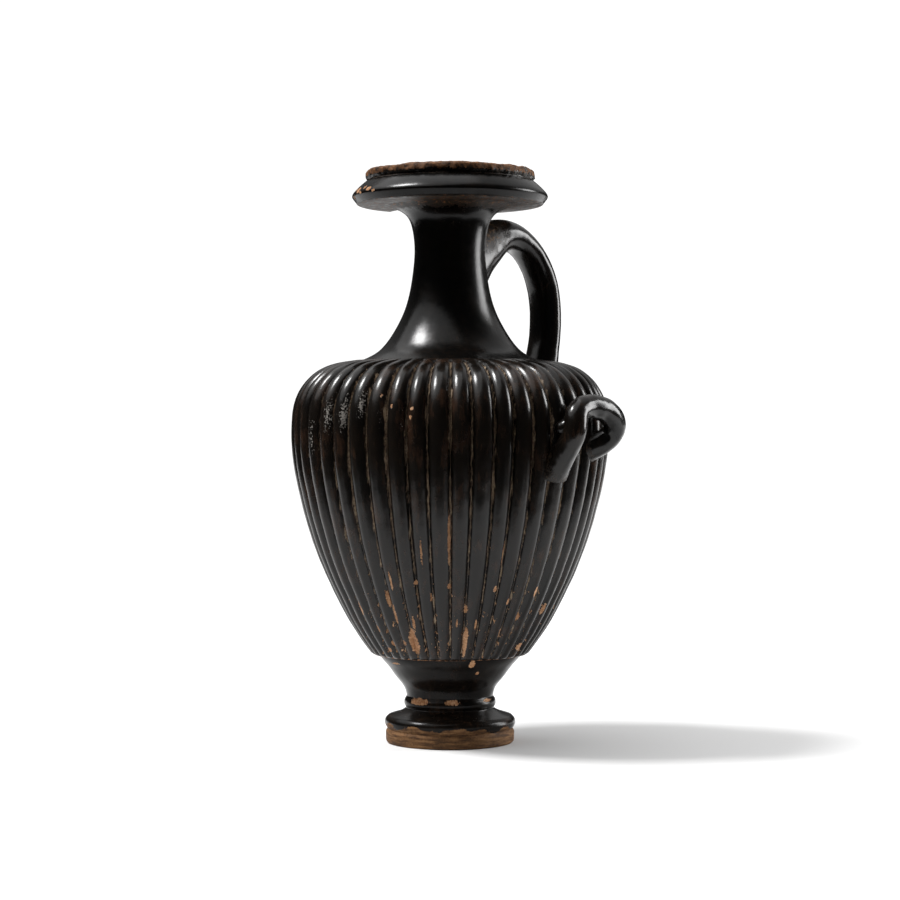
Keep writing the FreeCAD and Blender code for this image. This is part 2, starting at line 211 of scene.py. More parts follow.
def ramp(values: np.ndarray, low: float, high: float) -> np.ndarray:
    """A smooth step from 0 at low to 1 at high."""
    share = np.clip((values - low) / (high - low), 0.0, 1.0)
    return share * share * (3 - 2 * share)


def round_the_axis(radius: np.ndarray, height: np.ndarray, angle: np.ndarray) -> np.ndarray:
    """Points (x, y, z) at a radius, a height and an angle in radians round the jar's axis."""
    radius, height, angle = np.broadcast_arrays(radius, height, angle)
    return np.stack((radius * np.cos(angle), radius * np.sin(angle), height), axis=-1)


def faced(points: np.ndarray, side: float) -> tuple[np.ndarray, np.ndarray]:
    """Where points lie as seen from one side of the jar, by turning x and y round the axis.

    Args:
        points: Places, with x, y and z last.
        side: The side's angle round the axis, in degrees.

    Returns:
        How far each point lies towards that side, and how far to the right of the axis.
    """
    angle = math.radians(side)
    x, y = points[..., 0], points[..., 1]
    return x * math.cos(angle) + y * math.sin(angle), y * math.cos(angle) - x * math.sin(angle)


@dataclass(frozen=True)
class Chip:
    """A place where the glaze has gone, seen from the camera's side.

    turn is in degrees to the right of the camera's view of the axis, and the rest is in
    millimetres. strength says how completely the glaze has gone.
    """

    turn: float
    height: float
    wide: float
    tall: float
    strength: float = 1.0

    def field(self, points: np.ndarray) -> np.ndarray:
        """How deep in the chip each point lies: 1 at its middle, 0 at its rim, then below."""
        outwards, sideways = faced(points, FRONT + self.turn)
        across = sideways / (self.wide / 2)
        along = (points[..., 2] - self.height) / (self.tall / 2)
        field = (1.0 - np.sqrt(across**2 + along**2)) * self.strength
        return np.where(outwards > 0, np.maximum(field, -1.0), -1.0)


def chips_of(*rows: tuple[float, ...]) -> tuple[Chip, ...]:
    """Chips, from rows of their values."""
    return tuple(Chip(*row) for row in rows)


def chip_field(points: np.ndarray, chips: Sequence[Chip]) -> np.ndarray:
    """The deepest of several chips at each point, from -1 far away to 1 at a chip's middle."""
    deepest = np.full(points.shape[:-1], -1.0)
    for chip in chips:
        deepest = np.maximum(deepest, chip.field(points))
    return deepest


@dataclass
class Shell:
    """A closed mesh on a grid, with its finish and the values that the finish reads.

    points is rows by columns by (x, y, z) in millimetres. Columns always close on themselves.
    Rows close too where ring is set, and otherwise the first and last row are each shut by a
    fan to their middle point.
    """

    name: str
    points: np.ndarray
    finish: bpy.types.Material
    marks: Mapping[Mark, np.ndarray | float]
    ring: bool = False

    def build(self) -> bpy.types.Object:
        """Turns the faces outwards, writes the mesh with its attributes and makes the object.

        Returns:
            The object, at the origin, riding on the jar's body in place of its CAD node.
        """
        rows, columns = self.points.shape[:2]
        grid = np.arange(rows * columns).reshape(rows, columns)
        below = grid if self.ring else grid[:-1]
        above = np.roll(grid, -1, axis=0) if self.ring else grid[1:]
        corners = (below, np.roll(below, -1, axis=1), np.roll(above, -1, axis=1), above)
        faces = np.stack(corners, axis=-1).reshape(-1, 4)
        vertices = self.points.reshape(-1, 3)
        fans = np.empty((0, 3), dtype=int)
        if not self.ring:
            middles = np.stack((self.points[0].mean(axis=0), self.points[-1].mean(axis=0)))
            foot, head = rows * columns, rows * columns + 1
            first, last = grid[0], grid[-1]
            under = np.stack((np.roll(first, -1), first, np.full(columns, foot)), axis=-1)
            over = np.stack((last, np.roll(last, -1), np.full(columns, head)), axis=-1)
            vertices = np.concatenate((vertices, middles))
            fans = np.concatenate((under, over))
        if self.volume(vertices, faces) < 0:
            faces, fans = faces[:, ::-1], fans[:, ::-1]
        mesh = bpy.data.meshes.new(self.name)
        mesh.vertices.add(len(vertices))
        mesh.vertices.foreach_set("co", (vertices * MM).ravel().astype(np.float32))
        sizes = np.concatenate((np.full(len(faces), 4), np.full(len(fans), 3)))
        mesh.loops.add(int(sizes.sum()))
        mesh.loops.foreach_set("vertex_index", np.concatenate((faces.ravel(), fans.ravel())))
        mesh.polygons.add(len(sizes))
        mesh.polygons.foreach_set("loop_start", np.concatenate(([0], np.cumsum(sizes)[:-1])))
        mesh.polygons.foreach_set("use_smooth", np.ones(len(sizes), dtype=bool))
        for mark in Mark:
            values = np.broadcast_to(self.marks.get(mark, mark.unmarked), (rows, columns))
            flat = np.zeros(len(vertices), dtype=np.float32)
            flat[: rows * columns] = values.ravel()
            if not self.ring:
                flat[-2], flat[-1] = values[0].mean(), values[-1].mean()
            layer = mesh.attributes.new(mark.label, "FLOAT", "POINT")
            layer.data.foreach_set("value", flat)
        mesh.materials.append(self.finish)
        mesh.update(calc_edges=True)
        mesh.validate()
        piece = bpy.data.objects.new(self.name, mesh)
        bpy.context.scene.collection.objects.link(piece)
        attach(piece, BODY)
        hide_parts(NODE)
        return piece

    @staticmethod
    def volume(vertices: np.ndarray, faces: np.ndarray) -> float:
        """Six times the volume that four-sided faces enclose, negative if they face inwards."""
        a, b, c, d = (vertices[faces[:, corner]] for corner in range(4))
        whole = np.einsum("ij,ij->i", a, np.cross(b, c)) + np.einsum("ij,ij->i", a, np.cross(c, d))
        return float(whole.sum())


class Signal:
    """A number that a node puts out. Python's operators on it add Math nodes."""

    def __init__(self, board: "Board", socket: bpy.types.NodeSocket) -> None:
        """Keeps the board and the socket that the number comes from."""
        self.board = board
        self.socket = socket

    def _math(self, operation: str, *values: "Signal | float") -> "Signal":
        """One Math node on some values."""
        node = self.board.node(
            "ShaderNodeMath", {"operation": operation}, dict(enumerate(values))
        )
        return Signal(self.board, node.outputs[0])

    def __add__(self, other: "Signal | float") -> "Signal":
        """The sum."""
        return self._math("ADD", self, other)

    __radd__ = __add__

    def __sub__(self, other: "Signal | float") -> "Signal":
        """The difference."""
        return self._math("SUBTRACT", self, other)

    def __mul__(self, other: "Signal | float") -> "Signal":
        """The product."""
        return self._math("MULTIPLY", self, other)

    def over(self, onset: Onset) -> "Signal":
        """A smooth step from 0 where the wear starts to 1 where it is full."""
        return self.eased(*onset.value, 0.0, 1.0)

    def eased(self, low: float, high: float, first: float, last: float) -> "Signal":
        """A smooth step from first at low to last at high."""
        spans = {"From Min": low, "From Max": high, "To Min": first, "To Max": last}
        node = self.board.node(
            "ShaderNodeMapRange", {"interpolation_type": "SMOOTHSTEP"}, {"Value": self, **spans}
        )
        return Signal(self.board, node.outputs[0])

    def at_least(self, other: "Signal | float") -> "Signal":
        """The larger of two values."""
        return self._math("MAXIMUM", self, other)


class Board:
    """The node tree of a material or of the room, with the patterns that the finishes share."""

    def __init__(self, owner: bpy.types.Material | bpy.types.World) -> None:
        """Empties the tree of its owner."""
        owner.use_nodes = True
        self.owner = owner
        self.tree = owner.node_tree
        self.tree.nodes.clear()

    @cached_property
    def place(self) -> bpy.types.NodeSocket:
        """Object coordinates in millimetres."""
        place = self.node("ShaderNodeTexCoord", {}, {})
        sockets = {0: place.outputs["Object"], "Scale": 1 / MM}
        return self.node("ShaderNodeVectorMath", {"operation": "SCALE"}, sockets).outputs[0]

    def node(
        self, kind: str, settings: Mapping[str, object], sockets: Mapping[str | int, object]
    ) -> bpy.types.Node:
        """Adds a node.

        Args:
            kind: The node's type.
            settings: The node's own properties, set first.
            sockets: Values, signals or output sockets for its inputs, by name or number.

        Returns:
            The node.
        """
        node = self.tree.nodes.new(kind)
        for name, value in settings.items():
            setattr(node, name, value)
        for name, value in sockets.items():
            if isinstance(value, Signal):
                self.tree.links.new(value.socket, node.inputs[name])
            elif isinstance(value, bpy.types.NodeSocket):
                self.tree.links.new(value, node.inputs[name])
            else:
                node.inputs[name].default_value = value
        return node

    def mark(self, mark: Mark) -> Signal:
        """The value of one of the mesh's attributes."""
        node = self.node("ShaderNodeAttribute", {"attribute_name": mark.label}, {})
        return Signal(self, node.outputs["Fac"])

    def noise(self, per_mm: float, detail: float = 5.0, squash: float = 1.0) -> Signal:
        """Cloudy noise around 0.5, stretched along the jar's axis where squash is small."""
        place = self.node("ShaderNodeMapping", {}, {"Vector": self.place, "Scale": (1, 1, squash)})
        sockets = {"Vector": place.outputs[0], "Scale": per_mm, "Detail": detail,
                   "Roughness": 0.6}
        return Signal(self, self.node("ShaderNodeTexNoise", {}, sockets).outputs["Fac"])

    def blend(self, share: Signal, first: object, second: object) -> bpy.types.NodeSocket:
        """A colour between two: first where share is 0 and second where it is 1."""
        colours = [(*c, 1.0) if isinstance(c, tuple) else c for c in (first, second)]
        sockets = {0: share, 6: colours[0], 7: colours[1]}
        return self.node("ShaderNodeMix", {"data_type": "RGBA"}, sockets).outputs[2]

    def ramp(self, value: Signal, stops: Stops) -> bpy.types.NodeSocket:
        """A colour read off a ramp, whose stops are positions and colours."""
        node = self.node("ShaderNodeValToRGB", {}, {"Fac": value})
        elements = node.color_ramp.elements
        while len(elements) < len(stops):
            elements.new(0.5)
        for element, (position, colour) in zip(elements, stops):
            element.position = position
            element.color = (*colour, 1.0)
        return node.outputs["Color"]

    def finish(
        self, colour: bpy.types.NodeSocket, roughness: Signal, relief: Signal, ior: float
    ) -> bpy.types.Material:
        """Ends the tree in a shader.

        Args:
            colour: The base colour.
            roughness: The roughness.
            relief: The height of the fine relief, from 0 to 1.
            ior: The gloss's index of refraction.

        Returns:
            The material.
        """
        heights = {"Height": relief, "Distance": RELIEF * MM, "Strength": 1.0}
        bump = self.node("ShaderNodeBump", {}, heights)
        sockets = {"Base Color": colour, "Roughness": roughness, "Normal": bump.outputs[0],
                   "IOR": ior}
        shader = self.node("ShaderNodeBsdfPrincipled", {}, sockets)
        self.node("ShaderNodeOutputMaterial", {}, {"Surface": shader.outputs[0]})
        return self.owner


@dataclass(frozen=True)
class WornGlaze:
    """Black gloss slip on reddish clay, worn, chipped and soiled as old pottery is. Its pale
    groove lines are partly worn clay and partly a painted glint on the groove walls.

    Where the mesh is marked bare the slip has gone and rough brown clay shows, where it is
    marked scuffed pale grey grains are left, and flecks of clay crowd where it is marked so.
    The bare clay's grain is drawn out round the axis where bare_squash is large.
    """

    name: str
    shine: float
    brown: float
    bare_light: Colour = (0.36, 0.15, 0.055)
    bare_middle: Colour = (0.1, 0.045, 0.02)
    bare_dark: Colour = (0.018, 0.011, 0.008)
    bare_grain: float = 0.9
    bare_squash: float = 1.0
    bare_relief: float = 3.0
    ior: float = 1.37
    fired: Stops = ((0.0, (0.0024, 0.0022, 0.002)), (0.55, (0.007, 0.0048, 0.0034)),
                    (1.0, (0.035, 0.0175, 0.01)))
    # Colours of the pale groove lines: partly worn clay, partly a painted glint on the groove
    # walls.
    groove_wear_and_glint: Stops = ((0.36, (0.03, 0.02, 0.013)), (0.5, (0.14, 0.095, 0.06)),
                     (0.63, (0.38, 0.29, 0.2)))
    clay: Stops = ((0.35, (0.13, 0.055, 0.024)), (0.5, (0.38, 0.19, 0.09)),
                   (0.66, (0.6, 0.38, 0.23)))
    dirt: tuple[Colour, Colour] = ((0.007, 0.0048, 0.0034), (0.045, 0.028, 0.016))
    scuff: Colour = (0.27, 0.25, 0.225)

    def material(self) -> bpy.types.Material:
        """Builds the material.

        Each kind of wear is a mark plus noise, cut off at its onset, and later kinds cover the
        earlier ones: pale groove lines, which are partly worn clay and partly a painted glint on
        the groove walls, then soil, scuffs, rough bare clay and then chips. The slip under them is
        black with a brown cast where it was fired thin.

        Returns:
            The material, which reads the mesh's marks and Object coordinates.
        """
        board = Board(bpy.data.materials.new(self.name))
        broad, middle, fine = board.noise(0.11, 3.0), board.noise(0.5), board.noise(2.4, 6.0)
        grain = board.noise(self.bare_grain, 8.0, self.bare_squash)
        streak, dash = board.noise(0.7, squash=0.12), board.noise(1.7, squash=0.24)
        groove, fleck = board.mark(Mark.GROOVE), board.mark(Mark.FLECK)

        # Pale groove lines, partly worn clay and partly a painted glint on the groove walls.
        line = (groove + (streak - 0.5) * 0.5 + (dash - 0.5) * 0.35).over(Onset.LINE)
        lost = board.mark(Mark.WORN) + (fine - 0.5) * 1.1 + (middle - 0.5) * 0.9
        strewn = dash * 0.7 + middle * 0.3 + fleck * 0.1 + groove.over(Onset.GROOVE) * 0.07
        chipped = lost.over(Onset.CHIP).at_least(strewn.over(Onset.FLECK))
        soiled = board.mark(Mark.SOIL) + (middle - 0.5) * 1.3 + (fine - 0.5) * 0.6
        soiled = soiled.over(Onset.SOIL)
        scuffed = board.mark(Mark.SCUFF) + (fine - 0.5) * 3.0 + (dash - 0.5) * 1.2
        scuffed = scuffed.over(Onset.SCUFF)
        bare = board.mark(Mark.BARE) + (fine - 0.5) * 0.6 + (grain - 0.5) * 1.1
        bare = bare.over(Onset.BARE)

        bare_stops = ((0.4, self.bare_dark), (0.5, self.bare_middle), (0.62, self.bare_light))
        cast = (broad * 0.5 + streak * 0.5 - 0.5) * 3.0 + self.brown
        colour = board.ramp(cast, self.fired)
        # Paints the groove lines pale: worn clay and a painted glint.
        colour = board.blend(line, colour, board.ramp(streak * 0.5 + fine * 0.5, self.groove_wear_and_glint))
        colour = board.blend(soiled, colour, board.blend(fine.over(Onset.GRIT), *self.dirt))
        colour = board.blend(scuffed, colour, self.scuff)
        colour = board.blend(bare, colour, board.ramp(grain * 0.7 + fine * 0.3, bare_stops))
        colour = board.blend(chipped, colour, board.ramp(middle * 0.5 + fine * 0.5, self.clay))

        matt = (line * 0.7).at_least(soiled * 0.6).at_least(scuffed).at_least(bare)
        matt = matt.at_least(chipped)
        roughness = self.shine + (middle - 0.5) * 0.16 + (broad - 0.5) * 0.12 + matt * 0.45
        relief = (
            middle * 0.35 + fine * 0.1 - chipped * 0.6 + bare * (grain - 0.5) * self.bare_relief
            - soiled * fine * 0.4 - scuffed * fine * 0.5
        )
        return board.finish(colour, roughness, relief, self.ior)


@dataclass(frozen=True)
class Foot:
    """The turned foot: a bare banded ring, a moulding, a bead and the plain cone above it."""

    columns: int = 384
    rows: int = 220
    rounding: float = 0.16
    inset: float = 0.05
    band_top: float = 4.9
    sway: tuple[Waver, ...] = (Waver(14.0, 0.06, 3), Waver(3.0, 0.025, 4))
    drips: tuple[Waver, ...] = (Waver(4.5, 0.9, 15), Waver(13.0, 1.1, 16))
    chips: tuple[Chip, ...] = chips_of(
        (18.5, 22.0, 1.7, 2.1), (26.2, 19.4, 1.1, 0.9), (-53.4, 21.6, 3.6, 0.5),
        # The weak chip at 58 degrees on the bead is partly a painted glint: a small pale chip
        # where the bead shows speckled glints.
        (-43.0, 11.5, 6.6, 2.0, 0.9), (3.0, 11.5, 4.6, 1.4, 0.7), (58.0, 11.6, 3.4, 0.9, 0.5),
    )

    def outline(self) -> np.ndarray:
        """The half outline, from the hollow under the foot round to the floor inside."""
        return turned_outline(
            (
                ((0.0, 3.4), (11.8, 3.4)),
                ((11.8, 3.3), (11.8, 0.2)),
                ((12.0, 0.0), (16.3, 0.0)),
                ((16.8, 0.5), (16.88, 1.7), (16.9, 3.0)),
                ((16.4, 3.75), (16.42, 3.8)),
                ((16.8, 4.3), (17.15, 5.3), (16.95, 6.3), (16.3, 7.0)),
                ((16.2, 7.1), (14.0, 7.75), (12.4, 8.45), (11.5, 9.1)),
                ((11.5, 9.2), (12.0, 10.1), (11.95, 11.2), (11.35, 12.2)),
                ((11.35, 12.35), (11.75, 14.0), (14.2, 17.3), (16.4, 20.3), (18.5, 22.9),
                 (18.9, 24.0)),
                ((16.0, 24.3), (11.2, 24.3)),
                ((6.0, 19.0), (0.0, 19.0)),
            ),
            self.rounding,
            self.rows,
        )

    def build(self, finish: bpy.types.Material) -> bpy.types.Object:
        """Turns the outline round the axis.

        Radius and height go with the row and the angle with the column, and hand-made
        unevenness moves the outer points along their radius. The slip ends over the bare band
        at a height that drips make uneven.

        Args:
            finish: The material of the foot.

        Returns:
            The foot.
        """
        outline = self.outline()
        angle = np.linspace(0, 2 * math.pi, self.columns, endpoint=False)
        radius, height = outline[:, :1], outline[:, 1:]
        place = round_the_axis(radius, height, angle)
        outer = ramp(radius, 8.0, 11.0) * ramp(height, 0.2, 0.8)
        shift = (wavering(place, self.sway) - self.inset) * outer
        points = round_the_axis(radius + shift, height, angle)
        drips = wavering(place, self.drips)
        band = ramp(-height - drips, -self.band_top - 1.1, -self.band_top + 0.9)
        bare = np.maximum(band, ramp(-height, -3.5, -2.9)) * 0.85
        soil = ramp(-np.abs(height - 3.7), -0.5, -0.1) * 0.5 + ramp(-height, -9.5, -8.0) * 0.3
        marks = {
            Mark.WORN: chip_field(points, self.chips),
            Mark.FLECK: -0.3,
            Mark.BARE: bare,
            Mark.SOIL: soil,
        }
        return Shell("foot", points, finish, marks).build()


@dataclass(frozen=True)
class Belly:
    """The ribbed belly and shoulder, hollow inside.

    A rib is as deep as the radius times a depth share that grows from low to high, and the
    last few millimetres under the neck fade it out. crowding gathers the columns towards the
    grooves, the larger the angle the more, and the spreads are how much widths and depths vary.
    """

    ribs: int = 46
    first_rib: float = -3.13
    columns_a_rib: int = 18
    rows: int = 96
    inner_rows: int = 14
    inner_rounding: float = 0.4
    depth_low: float = 0.039
    depth_high: float = 0.052
    crowding: float = 62.0
    width_spread: float = 0.035
    depth_spread: float = 0.06
    fade_length: float = 3.0
    inset: float = 0.09
    sway: tuple[Waver, ...] = (Waver(16.0, 0.10, 5), Waver(4.0, 0.03, 6))
    crest: tuple[tuple[float, float], ...] = (
        (20.9, 23.6), (25.9, 30.9), (31.0, 40.4), (35.8, 51.9), (39.0, 62.8), (41.2, 74.2),
        (41.7, 81.5), (41.0, 88.5), (37.9, 94.5), (33.6, 98.0), (29.0, 99.5), (24.2, 100.15),
    )
    inside: tuple[tuple[float, float], ...] = (
        (22.5, 99.4), (14.3, 96.1), (29.8, 95.0), (37.05, 87.4), (37.05, 65.7), (26.9, 40.4),
        (10.9, 24.0), (12.0, 23.3), (20.0, 23.2),
    )
    chips: tuple[Chip, ...] = chips_of(
        (-31.8, 39.6, 0.9, 4.6), (-29.4, 35.4, 1.0, 5.6), (-27.0, 44.5, 0.6, 6.0, 0.7),
        (-11.6, 52.0, 0.5, 9.0, 0.7), (22.4, 51.5, 0.6, 7.0, 0.7), (14.0, 33.0, 0.7, 3.0, 0.8),
        (-19.6, 33.4, 0.9, 3.8, 0.9), (-9.0, 40.0, 0.6, 2.6, 0.7), (3.6, 33.6, 0.6, 2.2, 0.7),
        (30.0, 30.5, 0.8, 2.8, 0.8), (44.0, 41.0, 1.0, 3.2, 0.9), (57.0, 36.0, 1.0, 3.2, 0.8),
        (-38.5, 27.4, 1.3, 2.4, 0.8), (-52.0, 36.5, 1.2, 3.6, 0.8), (-45.2, 31.3, 1.6, 2.2),
        (-22.2, 28.2, 2.7, 7.6), (-28.9, 27.8, 1.5, 1.6), (-43.9, 25.8, 1.8, 1.4),
        (9.2, 28.9, 1.1, 9.0), (-15.5, 44.0, 1.5, 1.3), (-0.4, 43.1, 1.2, 1.6),
        (7.9, 37.1, 1.0, 2.0), (21.1, 42.2, 1.3, 1.6), (29.4, 38.8, 1.2, 2.0),
        (38.7, 34.6, 1.3, 2.3), (51.1, 26.4, 2.4, 1.9), (-25.2, 90.6, 0.9, 1.0, 0.9),
        (-20.6, 88.0, 1.0, 1.3, 0.9), (-13.2, 87.4, 1.1, 1.0, 0.9),
        (-13.6, 85.2, 1.2, 1.3, 0.8), (-0.4, 55.0, 0.7, 14.8, 0.8),
    )
    scuffs: tuple[Chip, ...] = chips_of(
        (-33.0, 88.5, 3.4, 12.0, 0.95), (-40.5, 86.0, 3.6, 15.0, 1.0),
        (-48.5, 85.5, 4.0, 15.0, 0.85), (-58.0, 80.0, 4.0, 16.0, 0.65),
        (-25.0, 85.0, 2.2, 8.0, 0.5), (-17.0, 84.0, 1.6, 12.0, 0.5),
    )

    @staticmethod
    def flecks(points: np.ndarray) -> np.ndarray:
        """How thickly flecks are strewn: most on the low belly, and a few on the shoulder."""
        low = ramp(-points[..., 2], -62.0, -30.0)
        high = ramp(points[..., 2], 84.0, 98.0)
        return low * 1.3 + high * 0.5 - 0.45

    def build(self, finish: bpy.types.Material) -> bpy.types.Object:
        """Carries a row of round-backed ribs along the crest line and closes it inside.

        Across a rib, u runs from -1 to 1 and the surface drops by a circle's sagitta, from the
        crest to the groove, along the crest line's normal. The depth goes with the radius and
        grows towards the shoulder, and each rib's width and depth differ a little.

        Args:
            finish: The material of the belly.

        Returns:
            The belly.
        """
        rng = np.random.default_rng(11)
        line = smooth_through(self.crest, 400)
        reach = reach_of(line)
        along = np.linspace(0, reach[-1], self.rows)
        line = picked(line, reach, along)
        slope = np.gradient(line, axis=0)
        slope /= np.linalg.norm(slope, axis=1, keepdims=True)
        inward = np.stack((-slope[:, 1], slope[:, 0]), axis=1)
        steps = np.linspace(-1.0, 1.0, self.columns_a_rib, endpoint=False)
        crowding = math.radians(self.crowding)
        across = np.sin(steps * crowding) / math.sin(crowding)
        edges = np.arange(self.ribs) + rng.normal(0, self.width_spread, self.ribs)
        widths = np.diff(np.append(edges, edges[0] + self.ribs))
        turn = (edges[:, None] + (across[None, :] + 1) / 2 * widths[:, None] - 0.5).ravel()
        angle = math.radians(self.first_rib) + turn * 2 * math.pi / self.ribs
        u = np.tile(across, self.ribs)
        each = np.repeat(rng.normal(1.0, self.depth_spread, self.ribs), self.columns_a_rib)
        radius, height = line[:, :1], line[:, 1:]
        share = ramp(height, 55.0, 92.0)
        slim = self.depth_low + (self.depth_high - self.depth_low) * share
        fade = ramp(reach[-1] - along, 0.0, self.fade_length)[:, None]
        half = math.pi / self.ribs
        sagitta = slim / half
        curve = (1 + sagitta**2) / (2 * sagitta)
        drop = curve - np.sqrt(curve**2 - u[None, :] ** 2)
        drop = drop * half * radius * each[None, :] * fade
        place = round_the_axis(radius, height, angle)
        drop = drop + self.inset - wavering(place, self.sway)
        outer_radius = radius + inward[:, :1] * drop
        outer_height = height + inward[:, 1:] * drop
        outer = round_the_axis(outer_radius, outer_height, angle)
        sides = list(zip(self.inside, self.inside[1:]))
        inner_line = turned_outline(sides, self.inner_rounding, self.inner_rows)
        inner = round_the_axis(inner_line[:, :1], inner_line[:, 1:], angle)
        points = np.concatenate((outer, inner))
        # How far into a groove each point lies, a little stronger up the shoulder; it drives the
        # pale groove lines, which are partly a painted glint.
        depth = np.abs(u)[None, :] * (0.94 + 0.06 * ramp(height, 40.0, 90.0))
        groove = depth * (0.5 + 0.5 * fade)
        return Shell("belly", points, finish, self.marks(outer, groove), ring=True).build()

    def marks(self, outer: np.ndarray, groove: np.ndarray) -> dict[Mark, np.ndarray]:
        """The finish's values, for the rows outside and the plain bare rows inside.

        Args:
            outer: The points outside.
            groove: How far into a groove each of them lies, up to 1.

        Returns:
            The values of each mark that the belly sets.
        """
        inner = np.ones((self.inner_rows, groove.shape[1]))
        sides = {
            Mark.GROOVE: (groove, 0.0),
            Mark.WORN: (chip_field(outer, self.chips), -1.0),
            Mark.SCUFF: (chip_field(outer, self.scuffs), -1.0),
            Mark.FLECK: (self.flecks(outer), -1.0),
            Mark.BARE: (np.full(groove.shape, -0.5), 0.7),
        }
        return {mark: np.concatenate((out, inner * value)) for mark, (out, value) in sides.items()}


@dataclass(frozen=True)
class Neck:
    """The waisted neck with its mouth: a spreading lip, a rough collar and a dished inside."""

    columns: int = 420
    rows: int = 225
    rounding: float = 0.17
    inset: float = 0.05
    break_angle: float = 150.0
    break_width: float = 15.0
    break_inner: float = 16.6
    break_top: float = 141.8
    lip_under: float = 140.4
    tilt: float = 1.2
    sway: Waver = Waver(18.0, 0.10, 7)
    crust: tuple[Waver, ...] = (Waver(5.0, 0.16, 8), Waver(1.8, 0.14, 9), Waver(0.8, 0.07, 10))
    crest: Waver = Waver(9.0, 0.2, 12)
    roof: Waver = Waver(3.0, 0.15, 13)
    chips: tuple[Chip, ...] = chips_of(
        (-64.0, 142.6, 1.5, 0.7, 0.8), (-68.0, 143.4, 2.2, 1.6, 0.9),
        (-61.0, 143.9, 1.6, 1.0, 0.8), (-55.0, 143.3, 2.6, 1.1, 0.9),
        (-50.0, 142.7, 1.6, 0.8, 0.6), (-75.0, 143.9, 2.0, 1.2, 0.6),
        (-78.0, 141.9, 2.4, 1.2, 0.7),
    )
    rust: tuple[Chip, ...] = chips_of(
        (-60.0, 148.4, 9.0, 2.6, 1.0), (-31.0, 148.9, 19.0, 3.0, 1.3),
        (-10.0, 149.3, 12.0, 2.2, 1.2), (8.0, 149.2, 12.0, 2.4, 1.2),
        (28.0, 148.9, 14.0, 2.6, 1.1), (44.0, 148.6, 7.0, 2.4, 0.9),
    )
    scuffs: tuple[Chip, ...] = chips_of(
        (63.0, 148.6, 7.0, 4.0, 0.9), (82.0, 148.6, 7.0, 4.0, 0.9),
        (-72.0, 148.0, 6.0, 3.0, 0.7), (66.0, 139.9, 12.0, 2.2, 0.4),
    )

    def outline(self) -> np.ndarray:
        """The half outline, from the shoulder up the outside and back down the bore."""
        return turned_outline(
            (
                ((15.5, 96.2), (22.6, 98.6)),
                ((23.3, 99.9), (20.7, 101.1), (19.0, 102.15), (16.9, 104.25), (14.7, 107.4),
                 (12.98, 110.5), (11.65, 113.7), (10.7, 117.2), (9.8, 122.5), (9.36, 128.5),
                 (9.75, 133.2), (11.3, 137.6), (16.2, 140.25)),
                ((16.6, 140.4), (23.8, 140.45)),
                ((24.4, 140.6), (25.2, 141.7), (25.7, 142.6), (25.45, 143.2)),
                ((25.3, 143.45), (23.9, 144.9), (22.0, 146.5)),
                ((21.6, 146.6), (21.65, 146.8)),
                ((21.7, 146.8), (22.25, 147.5), (22.3, 148.3), (22.1, 149.1), (21.4, 149.7)),
                ((21.2, 149.8), (19.6, 149.85)),
                ((18.9, 149.4), (18.8, 146.8)),
                ((18.7, 146.5), (17.8, 144.7), (15.4, 143.3), (9.6, 139.2)),
                ((6.5, 137.0), (6.4, 107.0)),
                ((6.5, 106.8), (14.3, 96.3)),
            ),
            self.rounding,
            self.rows,
        )

    def tilted(self, points: np.ndarray) -> np.ndarray:
        """How far the tilted mouth rises at each point, fading out down the neck."""
        towards, _ = faced(points, FRONT)
        return towards * math.tan(math.radians(self.tilt)) * ramp(points[..., 2], 135.0, 141.0)

    def build(self, finish: bpy.types.Material) -> bpy.types.Object:
        """Turns the outline round the axis, roughens the collar and breaks the lip.

        Radius and height go with the row and the angle with the column. The collar's points
        move by noise of three sizes, and under the lip those in the broken place rise to its
        rough roof.

        Args:
            finish: The material of the neck and mouth.

        Returns:
            The neck.
        """
        outline = self.outline()
        angle = np.linspace(0, 2 * math.pi, self.columns, endpoint=False)
        radius, height = outline[:, :1], outline[:, 1:]
        place = round_the_axis(radius, height, angle)
        outside = np.arange(self.rows) < np.argmax(outline[:, 1])
        skin = outside[:, None] * ramp(height, 98.0, 100.0)
        collar = ramp(height, 146.6, 147.2) * ramp(radius, 18.0, 19.0)
        rough = wavering(place, self.crust)
        radius = radius + (self.sway.at(place) - self.inset) * skin + (rough - 0.16) * collar
        top = ramp(height, 148.9, 149.7) * collar
        height = height + (self.crest.at(place) + rough * 0.45 - 0.3) * top
        outwards, sideways = faced(place, self.break_angle)
        broken = (np.abs(sideways) < self.break_width / 2) & (outwards > self.break_inner)
        broken &= height > self.lip_under - 1.0
        roof = self.break_top + self.roof.at(place)
        height = np.where(broken & outside[:, None], np.maximum(height, roof), height)
        points = round_the_axis(radius, height, angle)
        rusty = np.maximum(chip_field(points, self.rust), 0.0)
        under = ramp(-height, -141.2, -140.6) * ramp(height, 138.4, 139.8) * skin
        crust = 0.34 + 0.42 * ramp(height, 146.9, 148.2) + 0.5 * rusty
        bare = np.maximum(collar * (crust + 0.3 * rough), 0.58 * under)
        bare = np.where(broken & (height < 142.5), 0.62, bare)
        soil = 0.75 * under + 0.45 * ramp(-np.abs(height - 136.5), -5.5, -2.0) * skin
        soil = np.maximum(soil, 0.9 * ramp(-np.abs(height - 146.7), -0.5, -0.1) * skin)
        soil = np.maximum(soil - 0.15, 0.6 * collar)
        bare = np.where(outside[:, None], bare, np.maximum(bare, 0.35))
        marks = {
            Mark.WORN: np.where(outside[:, None], chip_field(points, self.chips), -1.0),
            Mark.SCUFF: np.where(outside[:, None], chip_field(points, self.scuffs), -1.0),
            Mark.BARE: bare - 0.2,
            Mark.SOIL: soil,
            Mark.FLECK: 0.0,
        }
        points[..., 2] += self.tilted(points)
        return Shell("neck", points, finish, marks, ring=True).build()


